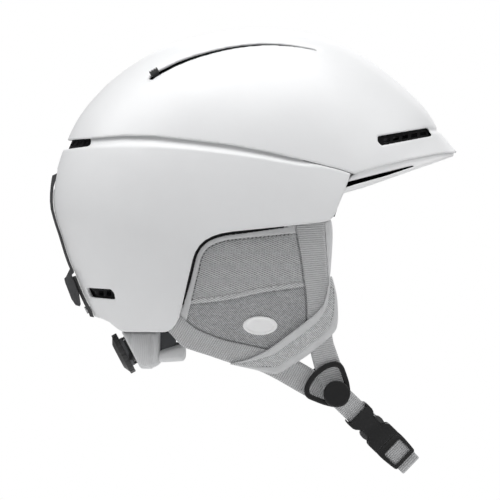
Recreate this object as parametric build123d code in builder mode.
from build123d import *
import math
import os

# Snow-sports helmet: two-piece hard shell over a foam liner, with removable ear pads, a webbing
# chin strap with a side-release buckle, a sliding crown-vent shutter, a hinged goggle-strap
# retainer and a rack-and-pinion size dial at the nape.
# Millimetres: +X is the wearer's front, +Y the wearer's left, +Z up. The origin is the middle of
# the ear-to-ear axis, on the mid-plane.
# Angles in the mid-plane run from +X (0) over the crown (90) to the rear (180) and the nape.

# ---------------------------------------------------------------- driving dimensions
HALF_WIDTH = 110.0          # half of the shell's width, at the ear axis
SUPER_N = 2.15              # fullness of the dome's cross-section (2 is an ellipse)
FRONT_NARROWING = 0.07      # share of the width lost towards the front
SECTION_END = 8.0           # dome sections stop this far from the ear axis
UPPER_T = 2.1               # upper shell wall
LOWER_T = 2.9               # lower shell wall
FLANGE = (2.45, 4.3)        # depth band of the lower shell's tucked flange
TRIM = (3.15, 26.5)         # depth band of the brow trim
FOAM = (4.7, 28.0)          # depth band of the foam liner
GRILLE = (3.1, 4.4)         # depth band of the rear and exhaust grilles
FRONT_GRILLE = (2.6, 4.2)   # depth band of the front grilles
PADDING = (29.4, 33.4)      # depth band of the comfort padding
WEB_W, WEB_T = 16.0, 1.5    # webbing width and thickness
EAR_PAD_T = 11.0
PIVOT = (51.7, -91.4)       # chin-strap pivot line, parallel to Y, in X and Z
HINGE = (-142.0, 61.0)      # pivot of the goggle strap, in X and Z
SHUTTER_C = (0.0, 10.5)     # centre of the crown shutter's arc, in X and Z
REST_Z = -48.5              # flat lower rim of the lower shell
FAR = 200.0                 # beyond the whole helmet
SIDES = (-1, 1)             # the wearer's right and left, as signs of Y

# mid-plane outline of the shell, as (angle, radius from the origin)
OUTLINE = [
    (-20, 142.0), (2, 146.0), (14, 148.0), (24, 151.5), (29.3, 156.6), (31.2, 155.6),
    (33.5, 154.6), (36.9, 153.8), (39.3, 155.3), (42.0, 156.4), (44.5, 156.9), (48.8, 157.2),
    (54.0, 157.8), (60.6, 159.6), (67.6, 161.4), (74.0, 162.7), (80.0, 163.1), (90.0, 163.2),
    (96.4, 163.4), (103.8, 163.8), (111.0, 164.8), (116.3, 165.3), (123.0, 165.3),
    (130.5, 165.0), (136.6, 164.2), (141.2, 163.4), (147.9, 160.7), (150.8, 159.6),
    (156.3, 157.0), (162.4, 153.2), (165.4, 150.6), (168.1, 147.0), (173.2, 140.3),
    (179.4, 134.5), (184.4, 130.1), (191.6, 125.9), (197.2, 123.3), (207.2, 123.6),
    (216.8, 127.6), (225.6, 134.0), (236.0, 138.0), (250.0, 140.0)]
# angles of the dome's lofted sections
STATIONS = [20, 29, 36, 43, 52, 64, 77, 90, 103, 116, 129, 141, 150, 158, 165, 172, 180, 188,
            197, 207, 217, 234]

# side-view outlines, as (X, Z)
CREASE_TOP = [  # lower edge of the upper shell, rear to front
    (-136.5, 84.9), (-119.2, 85.9), (-96.5, 87.6), (-75, 87.2), (-48.3, 84.3), (-21.5, 80.9),
    (5.3, 75.9), (32.1, 69.6), (54.6, 63.9), (62.6, 61.2)]
CREASE_LOW = [  # upper edge of the lower shell, rear to front
    (-139.3, 77.6), (-115.2, 80.3), (-96.5, 80.6), (-75, 80.0), (-48.3, 78.0), (-21.5, 74.9),
    (5.3, 70.9), (32.1, 66.2), (54.6, 62.2), (60.5, 60.4)]
BRIM_EDGE = [(63.8, 61.0), (79.7, 65.6), (102.6, 71.3), (123.8, 75.5), (135.9, 76.4)]
WINDOW = [  # ear opening of the lower shell, front to rear
    (59.3, 55.1), (50.4, 33.2), (48.6, 30.4), (45.4, 28.4), (40.6, 27.5), (10, 24.2),
    (-20.1, 21.2), (-28, 19.9), (-34.1, 18.0), (-39.4, 15.2), (-43.4, 11.4), (-46.4, 6.6),
    (-48.1, 1.4), (-52.2, -16.0), (-56.2, -33.6), (-57.6, -38.6), (-59.9, -43.2),
    (-63.0, -46.6), (-66.7, REST_Z)]
NAPE = [(-97.3, REST_Z), (-101.6, -45.6), (-106.4, -41.8), (-111.4, -39.6), (-116.9, -38.3),
        (-130, -37.5)]
FRONT_VENT = [(80.2, 87.2), (114.7, 93.3), (118.4, 88.0), (82.8, 80.9), (80.2, 83.6)]
EXHAUST = [(-122.8, -17.9), (-105, -18.9), (-102.6, -21.8), (-102, -25.9), (-119.7, -24.3)]


# ---------------------------------------------------------------- shared helpers
def cubic(table):
    """Smooth monotone interpolation through a table of (x, y)."""
    xs, ys = [x for x, _ in table], [y for _, y in table]
    count = len(xs)
    steps = [xs[i + 1] - xs[i] for i in range(count - 1)]
    slopes = [(ys[i + 1] - ys[i]) / steps[i] for i in range(count - 1)]
    inner = [0 if a * b <= 0 else 2 * a * b / (a + b) for a, b in zip(slopes, slopes[1:])]
    tangents = [slopes[0]] + inner + [slopes[-1]]

    def value(x):
        i = next((k for k in range(count - 1) if x < xs[k + 1]), count - 2)
        t = (x - xs[i]) / steps[i]
        return ((1 + 2 * t) * (1 - t) ** 2 * ys[i] + t * (1 - t) ** 2 * steps[i] * tangents[i]
                + t * t * (3 - 2 * t) * ys[i + 1] + t * t * (t - 1) * steps[i] * tangents[i + 1])
    return value


outline_radius = cubic(OUTLINE)


def outline_point(angle, outward):
    """X and Z of a mid-plane point a little outside the shell's outline."""
    a = math.radians(angle)
    radius = outline_radius(angle) + outward
    return (radius * math.cos(a), radius * math.sin(a))


def outline_run(angles, outward):
    return [outline_point(angle, outward) for angle in angles]


def section_points(angle, depth):
    """Points of the dome's section at an angle, as (distance from the ear axis, Y)."""
    radius, half_width = outline_radius(angle) - depth, HALF_WIDTH - depth
    narrowing = FRONT_NARROWING * max(0.0, math.cos(math.radians(angle)))
    t_end = math.acos((SECTION_END / radius) ** (SUPER_N / 2))
    points = []
    for k in range(-7, 8):
        t = t_end * k / 7
        reach = max(math.cos(t), 0) ** (2 / SUPER_N)
        y = half_width * math.copysign(abs(math.sin(t)) ** (2 / SUPER_N), t)
        points.append((radius * reach, y * (1 - narrowing * reach ** 1.5)))
    return points


def dome(depths, angles):
    """A layer between two depths below the outer form, lofted through fanned sections."""
    with BuildPart() as layer:
        for angle in [s for s in STATIONS if angles[0] <= s <= angles[1]]:
            a = math.radians(angle)
            outer, inner = [section_points(angle, depth) for depth in depths]
            station = Plane(origin=(0, 0, 0), x_dir=(math.cos(a), 0, math.sin(a)),
                            z_dir=(-math.sin(a), 0, math.cos(a)))
            with BuildSketch(station):
                with BuildLine():
                    Spline(*outer)
                    Line(outer[-1], inner[-1])
                    Spline(*reversed(inner))
                    Line(inner[0], outer[0])
                make_face()
        loft()
    return layer.part


def prism(plane, points, height):
    """A prism of a closed polygon."""
    with BuildPart() as solid:
        with BuildSketch(plane):
            with BuildLine():
                Polyline(*points, close=True)
            make_face()
        extrude(amount=height)
    return solid.part


def slab(points, span=(-FAR, FAR)):
    """A prism of a side-view outline, over a span of Y."""
    plane = Plane(origin=(0, span[0], 0), x_dir=(1, 0, 0), z_dir=(0, -1, 0))
    return prism(plane, points, -(span[1] - span[0]))


def trimmed_dome(depths, angles, outline, span=(-FAR, FAR)):
    """A dome layer kept only inside a side-view outline."""
    with BuildPart() as layer:
        add(dome(depths, angles))
        add(slab(outline, span), mode=Mode.INTERSECT)
    return layer.part


def block(x, y, z):
    """A box over a span of each axis."""
    with BuildPart() as box:
        with Locations((sum(x) / 2, sum(y) / 2, sum(z) / 2)):
            Box(x[1] - x[0], y[1] - y[0], z[1] - z[0])
    return box.part


def rod(centre, radius, span):
    """A cylinder parallel to Y about a centre in X and Z, over a span of Y."""
    with BuildPart() as cylinder:
        with BuildSketch(Plane(origin=(centre[0], span[0], centre[1]), x_dir=(1, 0, 0),
                               z_dir=(0, 1, 0))):
            Circle(radius)
        extrude(amount=span[1] - span[0])
    return cylinder.part


def side_span(side, near, far=FAR):
    """The span of Y between two distances from the mid-plane, on one side."""
    return sorted((side * near, side * far))


def offset_path(path, distance):
    """A path moved sideways, square to the chord between each point's neighbours."""
    moved = []
    for k, (u, v) in enumerate(path):
        (u0, v0), (u1, v1) = path[max(0, k - 1)], path[min(len(path) - 1, k + 1)]
        chord = math.hypot(u1 - u0, v1 - v0)
        moved.append((u - (v1 - v0) / chord * distance, v + (u1 - u0) / chord * distance))
    return moved


def strip(plane, near, far, height):
    """A prism between two smooth edges that run the same way."""
    with BuildPart() as solid:
        with BuildSketch(plane):
            with BuildLine():
                Spline(*near)
                Line(near[-1], far[-1])
                Spline(*reversed(far))
                Line(far[0], near[0])
            make_face()
        extrude(amount=height)
    return solid.part


def save(piece, name):
    piece.label = name
    export_step(piece, f"parts/{name}.step")


def save_pair(piece, name, side="right", other="left"):
    """Save a piece built on one side, and its mirror image."""
    save(piece, f"{name}_{side}")
    save(mirror(piece, about=Plane.XZ), f"{name}_{other}")


os.makedirs("parts", exist_ok=True)

# ---------------------------------------------------------------- upper shell
VENT_Y = 25.0               # the front and exhaust vents start this far from the mid-plane
# the wearer's left crown slot in plan, as (X, Y): inner edge, then outer edge
CROWN_SLOT = [
    (-80.0, 49.0), (-78.4, 47.2), (-58, 45.9), (0, 41.7), (35, 40.2), (38, 40.4),
    (38, 41.2), (35, 41.6), (0, 44.7), (-58, 50.3), (-78.4, 51.8), (-80.0, 50.6)]
upper_side = CREASE_TOP + BRIM_EDGE + [(FAR, 80), (FAR, FAR), (-FAR, FAR), (-FAR, 84.0)]

with BuildPart() as crown_slots:
    with BuildSketch(Plane.XY.offset(90)):
        with BuildLine():
            Polyline(*CROWN_SLOT, close=True)
        make_face()
        mirror(about=Plane.XZ)
    extrude(amount=100)

with BuildPart() as upper_shell:
    add(trimmed_dome((0.0, UPPER_T), (20, 180), upper_side))
    add(crown_slots.part, mode=Mode.SUBTRACT)
    for side in SIDES:
        add(slab(FRONT_VENT, side_span(side, VENT_Y)), mode=Mode.SUBTRACT)
save(upper_shell.part, "upper_shell")

# ---------------------------------------------------------------- lower shell
SCREW_Y = 6.5               # goggle-clip screws, each side of the mid-plane


def nape_plane(point, normal):
    """Sketch plane at a mid-plane point; x is +Y."""
    return Plane(origin=(point[0], 0, point[1]), x_dir=(0, 1, 0), z_dir=normal)


screw_plane = nape_plane(outline_point(195.2, 2.0), (-0.91, 0, -0.415))


def screw_cylinders(radius, start, height):
    """A cylinder on each goggle-clip screw axis, starting at a height over the screw plane."""
    with BuildPart() as pair:
        with BuildSketch(screw_plane.offset(start)):
            with Locations((-SCREW_Y, 0), (SCREW_Y, 0)):
                Circle(radius)
        extrude(amount=height)
    return pair.part


lower_side = CREASE_LOW + WINDOW + NAPE + [(-FAR, -37), (-FAR, 77.4)]
flange_side = ([(x, z + 9.0) for x, z in CREASE_TOP[1:8]] + [(46, 72.5), (48, 62.0)]
               + [(x, z - 2.5) for x, z in reversed(CREASE_LOW[1:-2])])
PIN_GROOVE = 0.83           # half of the groove's height round the goggle-clip pin

with BuildPart() as flange:
    add(trimmed_dome(FLANGE, (20, 188), flange_side))
    add(block((-FAR, -95), (-58, 58), (60, 120)), mode=Mode.SUBTRACT)

with BuildPart() as lower_shell:
    add(trimmed_dome((0.0, LOWER_T), (20, 234), lower_side))
    for side in SIDES:
        add(slab(EXHAUST, side_span(side, VENT_Y)), mode=Mode.SUBTRACT)
    add(flange.part)
    # slot for the goggle strap's barrel, grooves for its pin, and the screw holes of its base
    add(block((-150, -138.2), (-10.8, 10.8), (51.0, 64.4)), mode=Mode.SUBTRACT)
    add(block((HINGE[0] - PIN_GROOVE, -130), (-14.7, 14.7),
              (HINGE[1] - PIN_GROOVE, HINGE[1] + PIN_GROOVE)), mode=Mode.SUBTRACT)
    add(screw_cylinders(1.5, -12, 16), mode=Mode.SUBTRACT)
save(lower_shell.part, "lower_shell")

# ---------------------------------------------------------------- brow trim
# the brim's underside and temple edge, as (X, Z): lower edge rear to front, upper edge back
TRIM_SIDE = [
    (55.3, 46.2), (58.6, 49.3), (63.5, 50.7), (72, 52.8), (104, 63.9), (137, 75.2), (150, 79.5),
    (150, 83), (136, 80.5), (123.8, 79.0), (102.6, 74.8), (79.7, 69.1), (66, 65.2),
    (60.5, 60.0), (55.5, 52.0)]
AIR_INLET = [(66, 58.6), (108, 70.4), (108, 71.8), (66, 60.6)]

with BuildPart() as brow_trim:
    add(trimmed_dome(TRIM, (20, 90), TRIM_SIDE))
    for side in SIDES:
        add(slab(AIR_INLET, side_span(side, 40)), mode=Mode.SUBTRACT)
save(brow_trim.part, "brow_trim")

# ---------------------------------------------------------------- foam liner
SHUTTER_ARC = (-37.0, 12.0)  # ends of the shutter in degrees about its centre, + is forward
SHUTTER_TRAVEL = 6.0         # degrees it slides forward
POCKET_GAP = 2               # degrees of clearance at each end of the pocket
FOAM_SIDE = [
    (60.6, 60.9), (55.2, 52.6), (54.6, 45.4), (50.2, 31.5), (44, 31.0), (10, 27.4), (-20, 24.4),
    (-35, 21.2), (-45.6, 14.2), (-51, 2.6), (-59.2, -33.2), (-62.8, -43.0), (-68, -46.8),
    (-96.8, -46.8), (-105.8, -40.0), (-111, -37.8), (-118, -36.4), (-FAR, -36), (-FAR, FAR),
    (FAR, FAR), (FAR, 85), (150, 83.4), (136, 80.9), (123.8, 79.4), (102.6, 75.2),
    (79.7, 69.5), (66, 65.6)]
FOAM_INLET = [(82, 83), (112, 92), (116, 89), (84, 82)]
# centres in plan of the openings below the crown slots, as (X, distance from the mid-plane)
FOAM_PASSAGES = [(-58, 47.4), (-30, 45.4), (-2, 43.4), (24, 41.4)]
SHUTTER_PORTS = [(-44, 46.4), (-16, 44.4), (11, 42.4)]


def crown_section(depth, half_width, count=12):
    """Section of the crown at X = 0, as (Y, height above the shutter's arc centre)."""
    radius, dome_width = outline_radius(90) - depth, HALF_WIDTH - depth
    points = []
    for k in range(-count, count + 1):
        y = half_width * k / count
        z = radius * (1 - (abs(y) / dome_width) ** SUPER_N) ** (1 / SUPER_N)
        points.append((y, z - SHUTTER_C[1]))
    return points


def crown_band(depths, half_width, angles):
    """A strip along the crown, turned about the shutter's arc centre between two angles."""
    outer, inner = [crown_section(depth, half_width) for depth in depths]
    a = math.radians(angles[0])
    centre = (SHUTTER_C[0], 0, SHUTTER_C[1])
    start = Plane(origin=centre, x_dir=(0, 1, 0), z_dir=(math.cos(a), 0, -math.sin(a)))
    with BuildPart() as band:
        with BuildSketch(start):
            with BuildLine():
                Spline(*outer)
                Line(outer[-1], inner[-1])
                Spline(*reversed(inner))
                Line(inner[0], outer[0])
            make_face()
        revolve(axis=Axis(centre, (0, 1, 0)), revolution_arc=angles[1] - angles[0])
    return band.part


with BuildPart() as foam_liner:
    add(trimmed_dome(FOAM, (20, 234), FOAM_SIDE))
    # pocket the shutter slides in
    pocket_arc = (SHUTTER_ARC[0] - POCKET_GAP, SHUTTER_ARC[1] + SHUTTER_TRAVEL + POCKET_GAP)
    add(crown_band((-3.0, 8.4), 57.5, pocket_arc), mode=Mode.SUBTRACT)
    for side in SIDES:
        # air passages below the pocket
        for x, y in FOAM_PASSAGES:
            add(block((x - 6, x + 6), (side * y - 4, side * y + 4), (90, 160)),
                mode=Mode.SUBTRACT)
        add(slab(FOAM_INLET, side_span(side, 28, 90)), mode=Mode.SUBTRACT)
        # room for the front and rear strap anchors
        add(block((19, 46.5), side_span(side, 92, 110), (20, 42)), mode=Mode.SUBTRACT)
        add(block((-80, -55), side_span(side, 76, 100), (-60, -24)), mode=Mode.SUBTRACT)
    # rear outlet channel
    add(block((-FAR, -118), (-52, 52), (80.5, 86)), mode=Mode.SUBTRACT)
    for side in SIDES:
        add(slab(EXHAUST, side_span(side, 34, 62)), mode=Mode.SUBTRACT)
    # seat for the nape hanger's bracket
    add(block((-118, -95), (-14, 14), (-3, 16)), mode=Mode.SUBTRACT)
save(foam_liner.part, "foam_liner")

# ---------------------------------------------------------------- vent grilles
FRONT_GRILLE_SIDE = [(77.4, 88.6), (114, 95.3), (117.6, 95.3), (121.5, 87.4), (82.5, 78.8),
                     (77.4, 81.5)]
REAR_GRILLE_SIDE = [(-150, 74.5), (-110, 77.0), (-110, 91.5), (-150, 91.5)]
EXHAUST_GRILLE_SIDE = [(-126, -15.5), (-103, -16.5), (-99.8, -21), (-99.6, -28.2),
                       (-123, -26.8)]
RIGHT_OPENINGS = (-FAR, -10)     # span of Y of the cutters through the right-hand grilles

with BuildPart() as front_grilles:
    add(trimmed_dome(FRONT_GRILLE, (20, 103), FRONT_GRILLE_SIDE, (-FAR, -22)))
    for k in range(5):
        x, rise = 84.5 + 6.4 * k, 1.1 * k
        opening = [(x, 83.0 + rise), (x + 4.2, 83.8 + rise), (x + 4.2, 86.6 + rise),
                   (x, 85.8 + rise)]
        add(slab(opening, RIGHT_OPENINGS), mode=Mode.SUBTRACT)
    mirror(about=Plane.XZ)
save(front_grilles.part, "front_vent_grilles")

with BuildPart() as rear_grille:
    add(trimmed_dome(GRILLE, (116, 207), REAR_GRILLE_SIDE, (-56, 56)))
    for k in range(-4, 5):
        add(block((-FAR, -100), (k * 11 - 4.3, k * 11 + 4.3), (81.0, 84.2)), mode=Mode.SUBTRACT)
save(rear_grille.part, "rear_vent_grille")

with BuildPart() as exhaust_grilles:
    add(trimmed_dome(GRILLE, (150, 234), EXHAUST_GRILLE_SIDE, (-FAR, -VENT_Y)))
    for k in range(3):
        x = -119 + 5.4 * k
        opening = [(x, -20), (x + 3.4, -20.3), (x + 3.4, -23.6), (x, -23.2)]
        add(slab(opening, RIGHT_OPENINGS), mode=Mode.SUBTRACT)
    mirror(about=Plane.XZ)
save(exhaust_grilles.part, "exhaust_vent_grilles")

# ---------------------------------------------------------------- crown vent shutter
with BuildPart() as shutter:
    add(crown_band((6.2, 7.4), 56.0, SHUTTER_ARC))
    # leave one bridge across the middle, between X = -40 and X = -22
    add(block((-FAR, -40), (-32, 32), (0, FAR)), mode=Mode.SUBTRACT)
    add(block((-22, FAR), (-32, 32), (0, FAR)), mode=Mode.SUBTRACT)
    for side in SIDES:
        for x, y in SHUTTER_PORTS:
            add(block((x - 5.5, x + 5.5), (side * y - 4, side * y + 4), (90, 180)),
                mode=Mode.SUBTRACT)
save(shutter.part, "vent_shutter")

# ---------------------------------------------------------------- finger tabs in the crown slots
TAB_X, TAB_Y, TAB_Z = -72.7, 48.9, 128.3
tab_lean = math.atan2(TAB_X, 134.0 - SHUTTER_C[1])
tab_up = (math.sin(tab_lean) * 0.985, -0.17, math.cos(tab_lean) * 0.985)
tab_plane = Plane(origin=(TAB_X, -TAB_Y, TAB_Z),
                  x_dir=(math.cos(tab_lean), 0, -math.sin(tab_lean)), z_dir=tab_up)

with BuildPart() as vent_tabs:
    # neck through the slot
    with BuildSketch(tab_plane.offset(-5.4)):
        RectangleRounded(5.0, 2.2, 0.9)
    extrude(amount=8.9)
    # finger tab, grooved on top
    with BuildSketch(tab_plane.offset(3.3)):
        RectangleRounded(6.4, 4.4, 1.2)
    extrude(amount=3.2)
    for k in (-1, 0, 1):
        with BuildSketch(tab_plane.offset(6.0)):
            with Locations((k * 1.8, 0)):
                Rectangle(0.6, 5)
        extrude(amount=1.0, mode=Mode.SUBTRACT)
    mirror(about=Plane.XZ)
save(vent_tabs.part, "vent_tabs")

# ---------------------------------------------------------------- ear pads and upper straps
# built on the wearer's right, then mirrored; profiles as (Z, Y), outlines as (X, Z)
pad_y = cubic([
    (-95, -68.5), (-77, -71.0), (-60, -76.0), (-45, -81.5), (-30, -87.0), (-15, -91.5),
    (0, -95.0), (15, -97.0), (30, -97.6), (45, -97.2)])
web_y = cubic([
    (-100, -71.9), (-84, -71.9), (-77, -72.1), (-73, -73.05), (-68, -74.5), (-60, -77.1),
    (-45, -82.6), (-30, -88.1), (-15, -92.6), (0, -96.1), (15, -98.1), (30, -98.7),
    (45, -98.3)])
PAD_SIDE = [
    (-58.0, -36), (-50, 2.2), (-44.6, 13.2), (-34.3, 20), (-20, 23.2), (10, 26.2), (43.6, 29.5),
    (47, 30), (48.6, 20), (47.8, 0), (46.6, -12.7), (50.5, -22), (51.2, -42), (48, -49.5),
    (33.4, -62.2), (12.2, -76.2), (5.3, -76), (-21.6, -69.2), (-37, -61.5), (-50, -50.5)]
BORDER_SIDE = [
    (47.2, -12.7), (51.7, -21.6), (52.3, -42.1), (49, -49.6), (33.9, -62.9), (12.5, -77.2),
    (5.2, -76.8), (-21.8, -70.2), (-19.7, -69.0), (-9.1, -67.4), (4.3, -60.5), (16, -52),
    (31.2, -40.4), (42.7, -28.7), (46.0, -14)]
FRONT_WEB = [
    (22.6, 40), (24.0, 23.9), (30.2, -17.2), (31.6, -40.4), (34.7, -65.4), (41, -87.7),
    (52.5, -80), (54.3, -69.9), (48.6, -52.9), (45.9, -17.2), (45, -8.3), (43.2, 23.9),
    (42.4, 40)]
REAR_WEB = [
    (-59.6, -34.6), (-54.6, -39.1), (-46.6, -45.7), (-24.2, -54.6), (3.5, -60.9), (24.9, -69),
    (36.0, -74.2), (36.6, -82), (29.4, -89.5), (12.4, -77.6), (-5, -74.0), (-21.6, -69.9),
    (-37.6, -64.4), (-55.4, -58.2), (-64.4, -47.6), (-66.9, -44.9)]
badge_side = [(-1.4 + 12.0 * math.cos(math.radians(a)), -44 + 6.5 * math.sin(math.radians(a)))
              for a in range(0, 360, 20)]


def sheet(profile, offsets, outline):
    """A layer between two outward offsets of a profile, trimmed to a side-view outline."""
    low, high = min(z for _, z in outline) - 1, max(z for _, z in outline) + 1
    heights = [low + (high - low) * k / 9 for k in range(10)]
    near, far = [[(profile(z) - offset, z) for z in heights] for offset in offsets]
    with BuildPart() as piece:
        add(strip(Plane.YZ.offset(-90), near, far, 160))
        add(slab(outline, (-FAR, 0)), mode=Mode.INTERSECT)
    return piece.part


def upper_strap(outline, hub_radius):
    """Webbing that ends on an arc about the chin-strap pivot."""
    with BuildPart() as web:
        add(sheet(web_y, (-WEB_T / 2, WEB_T / 2), outline))
        add(rod(PIVOT, hub_radius, (-FAR, 0)), mode=Mode.SUBTRACT)
    return web.part


save_pair(sheet(pad_y, (0.0, -EAR_PAD_T), PAD_SIDE), "ear_pad")
save_pair(sheet(pad_y, (2.2, 5.2), BORDER_SIDE), "ear_pad_border")
save_pair(sheet(pad_y, (0.15, 1.15), badge_side), "ear_badge")
save_pair(upper_strap(FRONT_WEB, 12.6), "front_strap")
save_pair(upper_strap(REAR_WEB, 15.5), "rear_strap")

# anchor: a loop round the top end of the front strap, its outer face planed to clear the shell
with BuildPart() as anchor:
    with BuildSketch(Plane.XY.offset(33)):
        with Locations((32.6, -98.25)):
            Rectangle(24.5, 3.9)
        with Locations((32.6, -98.4)):
            Rectangle(21.4, 2.3, mode=Mode.SUBTRACT)
    extrude(amount=5)
    with BuildSketch(Plane.XY.offset(32)):
        with BuildLine():
            Polyline((15, -100.99), (50, -98.54), (50, -110), (15, -110), close=True)
        make_face()
    extrude(amount=8, mode=Mode.SUBTRACT)
save_pair(anchor.part, "strap_anchors")

# ---------------------------------------------------------------- strap divider and its cap
DIVIDER_Y = (-77.8, -75.3)  # outer and inner face of the right-hand divider
CAP_R = 9.25


def around_hub(radius, start, end, step=6):
    """X and Z of points on an arc about the chin-strap pivot, between two angles."""
    count = max(2, round(abs(end - start) / step))
    angles = [math.radians(start + (end - start) * k / count) for k in range(count + 1)]
    return [(PIVOT[0] + radius * math.cos(a), PIVOT[1] + radius * math.sin(a)) for a in angles]


# a fan-shaped ring: its arc carries both upper straps, its hub the chin strap
with BuildPart() as divider:
    add(slab(around_hub(22.3, 77, 183) + around_hub(10.4, 232, 402), DIVIDER_Y))
    add(slab(around_hub(18.6, 84, 176) + around_hub(9.7, 168, 94), (-90, -60)),
        mode=Mode.SUBTRACT)
    add(rod(PIVOT, 1.7, (-90, -60)), mode=Mode.SUBTRACT)
    fillet([e for e in divider.edges()
            if abs(e.center().Y - DIVIDER_Y[0]) < 0.01 and e.length > 12], 0.7)
save_pair(divider.part, "strap_divider")

with BuildPart() as cap:
    with BuildSketch(Plane(origin=(PIVOT[0], DIVIDER_Y[0] - 0.05, PIVOT[1]), x_dir=(1, 0, 0),
                           z_dir=(0, -1, 0))):
        Circle(CAP_R)
    extrude(amount=3.4)
    fillet(cap.edges().group_by(Axis.Y)[0], 1.3)
    # rivet shank through the divider and the chin strap, with its clinched head
    add(rod(PIVOT, 1.6, (DIVIDER_Y[0] - 0.1, DIVIDER_Y[0] + 5.5)))
    add(rod(PIVOT, 3.2, (-73.3, -72.4)))
save_pair(cap.part, "divider_cap")

# ---------------------------------------------------------------- chin strap
# The strap lies in a plane through the pivot line, mapped by (Y, distance from the pivot);
# the buckle sits on it at the wearer's right, tilted inwards.
DOWN_X, DOWN_Z = 0.72, -0.694        # direction of the chin strap, forwards and down
TILT = math.radians(15)              # slope of the buckle towards the mid-plane
ENTRY_Y, ENTRY_D = -68.5, 17.3       # where the strap enters the buckle, in the strap's plane
LENGTHWISE = Vector(DOWN_X * math.cos(TILT), math.sin(TILT), DOWN_Z * math.cos(TILT))
CROSSWISE = Vector(-DOWN_Z, 0, DOWN_X)       # forwards and up
OUTWARD = LENGTHWISE.cross(CROSSWISE)
ENTRY = Vector(PIVOT[0] + DOWN_X * ENTRY_D, ENTRY_Y, PIVOT[1] + DOWN_Z * ENTRY_D)
STRAP_HOLE = 1.75                    # radius of the pivot hole in the webbing


def ribbon(path):
    """Webbing along a path of (Y, distance down from the pivot) in the strap's plane."""
    plane = Plane(origin=(PIVOT[0] + CROSSWISE.X * WEB_W / 2, 0,
                          PIVOT[1] + CROSSWISE.Z * WEB_W / 2),
                  x_dir=(0, 1, 0), z_dir=(-CROSSWISE.X, 0, -CROSSWISE.Z))
    return strip(plane, offset_path(path, WEB_T / 2), offset_path(path, -WEB_T / 2), WEB_W)


def on_buckle(length):
    """A point of the buckle's centre line, in the strap's plane."""
    return (ENTRY_Y + length * math.sin(TILT), ENTRY_D + length * math.cos(TILT))


RIGHT_PATH = [(-74.3, -6.5), (-74.3, 0), (-74.1, 5), (-72.3, 9.5), (-70.0, 13.5),
              on_buckle(0.6), on_buckle(4), on_buckle(7.6)]
LEFT_PATH = [(74.3, -6.5), (74.3, 0), (73.9, 6), (71.6, 14), (68.6, 24), (65.2, 36), (61.4, 49),
             (57.6, 59.5), (53.4, 65.2), (49.0, 67.6)]
TAIL_PATH = [on_buckle(37.2), on_buckle(42), on_buckle(47), on_buckle(50.3), (-52.5, 68.0),
             (-46.5, 68.8), (-30, 69.0), (0, 69.1), (30, 69.0), (46.5, 68.6)]

with BuildPart() as chin_right:
    add(ribbon(RIGHT_PATH))
    add(rod(PIVOT, STRAP_HOLE, (-90, -60)), mode=Mode.SUBTRACT)
save(chin_right.part, "chin_strap_right")

with BuildPart() as chin_left:
    add(ribbon(LEFT_PATH))
    add(rod(PIVOT, STRAP_HOLE, (60, 90)), mode=Mode.SUBTRACT)
save(chin_left.part, "chin_strap_left")

save(ribbon(TAIL_PATH), "chin_strap_tail")

# ---------------------------------------------------------------- side-release buckle
# outlines as (distance from the strap entry, distance across); depths are outward
FEMALE_HALF = [(0, 8.6), (0.9, 9.5), (3, 9.85), (7, 9.7), (9, 9.0), (12.2, 6.3), (19.3, 6.3),
               (21.6, 8.8), (23.2, 10.2), (25, 10.5), (31.2, 10.5)]
MALE_HALF = [(31.4, 10.3), (35.5, 10.6), (39, 10.5), (45, 10.0), (49.3, 9.5), (50.5, 8.6)]
MALE_TONGUE = [(12.2, -2.2), (13.2, -2.7), (31.5, -2.7), (31.5, 2.7), (13.2, 2.7), (12.2, 2.2)]
PRONG = [
    (33.3, 5.2), (30, 5.5), (21, 5.7), (14.2, 5.9), (12.9, 6.8), (13.4, 8.2), (15.2, 9.3),
    (17.6, 9.55), (19.6, 9.1), (21.8, 8.4), (26, 8.1), (30.5, 8.0), (33.3, 8.2), (34.5, 7.5),
    (34.8, 6.7), (34.5, 5.9)]
PRONG_DEPTHS = (-1.75, 1.75)
CAVITY_DEPTHS = (-1.95, 1.95)        # room for the prongs in both halves


def buckle_prism(points, depths):
    plane = Plane(origin=ENTRY + OUTWARD * depths[0], x_dir=LENGTHWISE, z_dir=OUTWARD)
    return prism(plane, points, depths[1] - depths[0])


def buckle_box(length, width, depths):
    corners = [(length[0], width[0]), (length[0], width[1]),
               (length[1], width[1]), (length[1], width[0])]
    return buckle_prism(corners, depths)


def full_outline(half):
    return half + [(length, -width) for length, width in reversed(half)]


def face_edges(body, beyond):
    """Edges of the buckle's broad faces, further than a depth from its middle."""
    return [e for e in body.edges() if abs((e.center() - ENTRY).dot(OUTWARD)) > beyond]


with BuildPart() as female:
    add(buckle_prism(full_outline(FEMALE_HALF), (-3.8, 3.8)))
    fillet(face_edges(female, 3.75), 0.6)
    add(buckle_box((10.5, 32), (-9.65, 9.65), CAVITY_DEPTHS), mode=Mode.SUBTRACT)
    # webbing slot, and the open throat between the two horns
    add(buckle_box((-1, 8.6), (-8.4, 8.4), (-1.3, 1.3)), mode=Mode.SUBTRACT)
    add(buckle_box((-1, 2.9), (-8.4, 8.4), (-5, 5)), mode=Mode.SUBTRACT)
save(female.part, "buckle_female")

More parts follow.
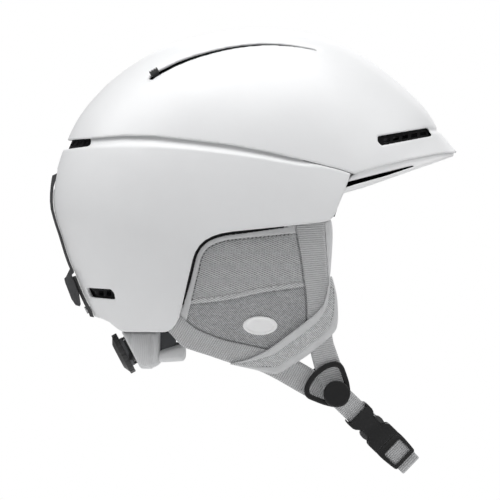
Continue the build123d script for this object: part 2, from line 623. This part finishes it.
with BuildPart() as male:
    add(buckle_prism(full_outline(MALE_HALF), (-3.2, 3.2)))
    fillet(face_edges(male, 3.1), 0.6)
    # webbing slot, and the window over it in the outer face
    add(buckle_box((36.5, 52), (-8.4, 8.4), (-1.4, 1.4)), mode=Mode.SUBTRACT)
    add(buckle_box((36.3, 48.0), (-7.8, 7.8), (1.0, 4.0)), mode=Mode.SUBTRACT)
    # sockets of the prong roots
    for side in SIDES:
        add(buckle_box((31, 35.6), (side * 4.2, side * 9.3), CAVITY_DEPTHS), mode=Mode.SUBTRACT)
    add(buckle_prism(MALE_TONGUE, (-1.6, 1.6)))
save(male.part, "buckle_male")

save(buckle_prism(PRONG, PRONG_DEPTHS), "buckle_prong_front")
save(buckle_prism([(length, -width) for length, width in PRONG], PRONG_DEPTHS),
     "buckle_prong_rear")

# ---------------------------------------------------------------- goggle-strap retainer
CLIP_HALF_W = 10.3
CLIP_SPAN = (-CLIP_HALF_W, CLIP_HALF_W)
stud_plane = nape_plane(outline_point(188.2, 2.2), (-0.985, 0, -0.17))

with BuildPart() as clip_base:
    add(slab(outline_run((184.2, 187, 190, 193, 196, 198.2), 0.5)
             + outline_run((197.6, 196, 193, 190, 187, 184.4), 2.9), CLIP_SPAN))
    with BuildSketch(stud_plane):
        Circle(3.0)
    extrude(amount=2.6)
    # screw holes and the recesses of the heads
    add(screw_cylinders(1.45, -6, 12), mode=Mode.SUBTRACT)
    add(screw_cylinders(2.7, 0.95, 4), mode=Mode.SUBTRACT)
save(clip_base.part, "goggle_clip_base")

with BuildPart() as clip_screws:
    # shanks, heads and driver slots
    add(screw_cylinders(1.4, -4.4, 5.8))
    add(screw_cylinders(2.6, 1.0, 1.1))
    with BuildSketch(screw_plane.offset(1.5)):
        with Locations((-SCREW_Y, 0), (SCREW_Y, 0)):
            Rectangle(3.2, 0.6)
    extrude(amount=1.0, mode=Mode.SUBTRACT)
save(clip_screws.part, "goggle_clip_screws")

STRAP_TIP = [(-137.0, -10.2), (-138.3, -11.6), (-137.6, -14.6), (-133.2, -26.0),
             (-130.3, -30.2), (-127.6, -31.0), (-127.0, -29.6)]
strap_outline = (
    outline_run((158.0, 160, 162, 164, 166, 168, 170, 172.5, 175, 177.5, 180, 182.0), 2.4)
    + STRAP_TIP
    + [outline_point(191.0, 3.9)]
    + outline_run((189.5, 187, 185, 183.9), 3.1)
    + [outline_point(183.2, 0.8)]
    + outline_run((182.6, 180, 177.5, 175, 172.5, 170, 168, 166, 164, 162, 160.4), 0.5))
# web that joins the hinge barrel to the strap
barrel_web = [
    (HINGE[0] - 1.6, HINGE[1] - 0.6), (HINGE[0], HINGE[1] + 1.7), outline_point(157.6, 2.35),
    outline_point(161.2, 2.3), outline_point(161.8, 0.55), outline_point(160.2, 0.5)]

with BuildPart() as clip_strap:
    add(slab(strap_outline, CLIP_SPAN))
    add(rod(HINGE, 1.75, CLIP_SPAN))
    add(slab(barrel_web, CLIP_SPAN))
    # pin hole and stud hole
    add(rod(HINGE, 0.85, (-20, 20)), mode=Mode.SUBTRACT)
    with BuildSketch(stud_plane.offset(-1)):
        Circle(3.35)
    extrude(amount=4.1, mode=Mode.SUBTRACT)
save(clip_strap.part, "goggle_clip_strap")

save(rod(HINGE, 0.8, (-14.5, 14.5)), "goggle_clip_pin")

# ---------------------------------------------------------------- size dial, cover and cradle
DIAL_X, DIAL_Z = -95.0, -63.0        # centre of the dial's inner face, on the mid-plane
AXIS_X, AXIS_Z = -0.885, -0.4656     # dial axis, away from the head
DIAL_R = 15.0
PINION_TEETH, MODULE = 10, 1.0
CRADLE_PLATE = (43, 21, 6)           # width, height and corner radius


def dial_plane(out):
    """Sketch plane square to the dial's axis, a distance out; x is -Y, y is up the nape."""
    return Plane(origin=(DIAL_X + AXIS_X * out, 0, DIAL_Z + AXIS_Z * out), x_dir=(0, -1, 0),
                 z_dir=(AXIS_X, 0, AXIS_Z))


def dial_point(out, up):
    """X and Z of a mid-plane point, out along the dial's axis and up the nape."""
    return (DIAL_X + AXIS_X * out + AXIS_Z * up, DIAL_Z + AXIS_Z * out - AXIS_X * up)


with BuildPart() as dial:
    # scalloped grip
    with BuildSketch(dial_plane(0.3)):
        Circle(DIAL_R)
        with PolarLocations(DIAL_R + 1.5, 18):
            Circle(2.1, mode=Mode.SUBTRACT)
    extrude(amount=3.7)
    # tapered face
    with BuildSketch(dial_plane(3.9)):
        Circle(13.9)
    with BuildSketch(dial_plane(6.4)):
        Circle(9.0)
    loft()
    # bore for the pinion's shaft
    with BuildSketch(dial_plane(0.2)):
        Circle(2.55)
    extrude(amount=4.2, mode=Mode.SUBTRACT)
save(dial.part, "fit_dial")

with BuildPart() as pinion:
    with BuildSketch(dial_plane(-3.2)):
        Circle(3.7)
        for k in range(PINION_TEETH):
            with Locations(Location((0, 0, 0), (0, 0, 90 + k * 360 / PINION_TEETH))):
                with Locations((4.5, 0)):
                    Rectangle(2.3, 0.95)
    extrude(amount=1.2)
    with BuildSketch(dial_plane(-2.2)):
        Circle(2.5)
    extrude(amount=6.3)
save(pinion.part, "fit_pinion")

with BuildPart() as cover:
    with BuildSketch(dial_plane(-1.7)):
        RectangleRounded(*CRADLE_PLATE)
        Circle(2.56, mode=Mode.SUBTRACT)
    extrude(amount=1.7)
save(cover.part, "fit_cover")

with BuildPart() as cradle:
    with BuildSketch(dial_plane(-5.0)):
        RectangleRounded(*CRADLE_PLATE)
    extrude(amount=1.5)
    # guide walls above and below the racks, up to the cover
    with BuildSketch(dial_plane(-3.6)):
        with Locations((0, 9.3), (0, -9.3)):
            Rectangle(28, 1.9)
    extrude(amount=1.8)
save(cradle.part, "fit_cradle")

# ---------------------------------------------------------------- size bands
PITCH = math.pi * MODULE
RACK_DEPTHS = (-3.3, -1.9)           # along the dial's axis
RACK_BACK, RACK_ROOT, RACK_TIP = 8.1, 5.95, 4.45     # heights from the dial's axis
RACK_END, BAND_END = 19.2, -27       # free end, and the end that meets the arm
# centre line of the left arm in plan, as (X, Y)
ARM = [(-92.6, 24.4), (-91.2, 25.3), (-88.0, 31.5), (-83.0, 37.5), (-76.0, 42.0),
       (-67.0, 44.6), (-57.0, 45.6)]


def rack(sign):
    """Toothed part of a band: +1 lies above the pinion and leaves to the wearer's left."""
    points = [(RACK_END, RACK_BACK), (BAND_END, RACK_BACK), (BAND_END, -RACK_BACK),
              (-23.6, -RACK_BACK), (-23.6, RACK_ROOT)]
    for k in range(-2, 6):
        middle = (k + 0.5) * PITCH
        points += [(middle - 0.85, RACK_ROOT), (middle - 0.5, RACK_TIP),
                   (middle + 0.5, RACK_TIP), (middle + 0.85, RACK_ROOT)]
    points += [(RACK_END, RACK_ROOT)]
    return prism(dial_plane(RACK_DEPTHS[0]), [(sign * x, sign * y) for x, y in points],
                 RACK_DEPTHS[1] - RACK_DEPTHS[0])


def plan_ribbon(path, offsets, heights):
    """A curved strip seen in plan, between two offsets of a path and two heights."""
    near, far = [offset_path(path, offset) for offset in offsets]
    return strip(Plane.XY.offset(heights[0]), near, far, heights[1] - heights[0])


def size_band(sign):
    with BuildPart() as band:
        add(rack(sign))
        arm = plan_ribbon(ARM, (-0.8, 0.8), (-68.5, -56.5))
        add(arm if sign > 0 else mirror(arm, about=Plane.XZ))
    return band.part


save(size_band(1), "fit_band_left")
save(size_band(-1), "fit_band_right")

# padded cover on both faces of the arm, kept clear of the dial
COVER_REAR = [(-94.0, 28.5), (-88.6, 33.4), (-83.0, 38.4), (-77.0, 42.0), (-70.6, 44.3)]
COVER_FRONT = [(-86.5, 31.4), (-82.3, 36.4), (-76.5, 40.4), (-70.8, 42.6)]
inside_dial = [dial_point(-0.6, 40), dial_point(-0.6, -40), dial_point(-60, -40),
               dial_point(-60, 40)]

with BuildPart() as band_cover:
    add(plan_ribbon(COVER_REAR, (1.4, 6.4), (-74.4, -49.4)))
    add(plan_ribbon(COVER_FRONT, (-6.4, -1.6), (-73.0, -50.5)))
    add(slab(inside_dial, (0, 80)), mode=Mode.INTERSECT)
save_pair(band_cover.part, "band_cover", "left", "right")

END_PAD_PATH = [(-69.0, 44.2), (-62.0, 45.3), (-55.0, 45.9)]
with BuildPart() as end_pad:
    for offsets in ((1.2, 6.5), (-6.5, -1.2)):
        add(plan_ribbon(END_PAD_PATH, offsets, (-69.3, -56.8)))
save_pair(end_pad.part, "band_end_pad", "left", "right")

# ---------------------------------------------------------------- hanger and cradle pads
HANGER_T = 1.4
hanger_path = [dial_point(-5.8, -5), dial_point(-5.8, 2), dial_point(-7.6, 6.0),
               (-81.6, -47.8), (-82.6, -40), (-86.4, -26), (-95.0, -7), (-105.5, 4.6)]

with BuildPart() as hanger:
    add(slab(offset_path(hanger_path, HANGER_T / 2)
             + list(reversed(offset_path(hanger_path, -HANGER_T / 2))), (-8.0, 8.0)))
    # bracket seated in the foam
    add(block((-115.5, -104.8), (-11.5, 11.5), (0.0, 13.5)))
save(hanger.part, "fit_hanger")

with BuildPart() as cradle_pads:
    for side in SIDES:
        with BuildSketch(dial_plane(-10.5)):
            with Locations((side * 15.5, 0)):
                RectangleRounded(11.5, 20, 4)
        extrude(amount=5.3)
save(cradle_pads.part, "cradle_pads")

# ---------------------------------------------------------------- comfort padding
BROW_PAD_SIDE = [(56, 47.5), (66, 53), (130, 75), (130, 92), (60, 84), (44, 62)]
NAPE_PAD_SIDE = [(-60, 48), (-130, 60), (-130, -30), (-74, -30), (-70, 10)]
CROWN_Z = (60, 200)         # heights that take in the whole crown

save(trimmed_dome(PADDING, (20, 90), BROW_PAD_SIDE), "brow_pad")

with BuildPart() as crown_pad:
    add(dome(PADDING, (20, 172)))
    # a spine with two cross bars, seen in plan
    spine = block((-90, 73), (-13, 13), CROWN_Z)
    add(spine + block((-34, -8), (-66, 66), CROWN_Z) + block((26, 50), (-54, 54), CROWN_Z),
        mode=Mode.INTERSECT)
    for x in (-66, 8, 72):
        add(block((x - 4, x + 4), (-2.5, 2.5), CROWN_Z), mode=Mode.SUBTRACT)
save(crown_pad.part, "crown_pad")

with BuildPart() as nape_pads:
    add(dome(PADDING, (129, 234)))
    add(slab(NAPE_PAD_SIDE, (17, 74)) + slab(NAPE_PAD_SIDE, (-74, -17)), mode=Mode.INTERSECT)
save(nape_pads.part, "nape_pads")
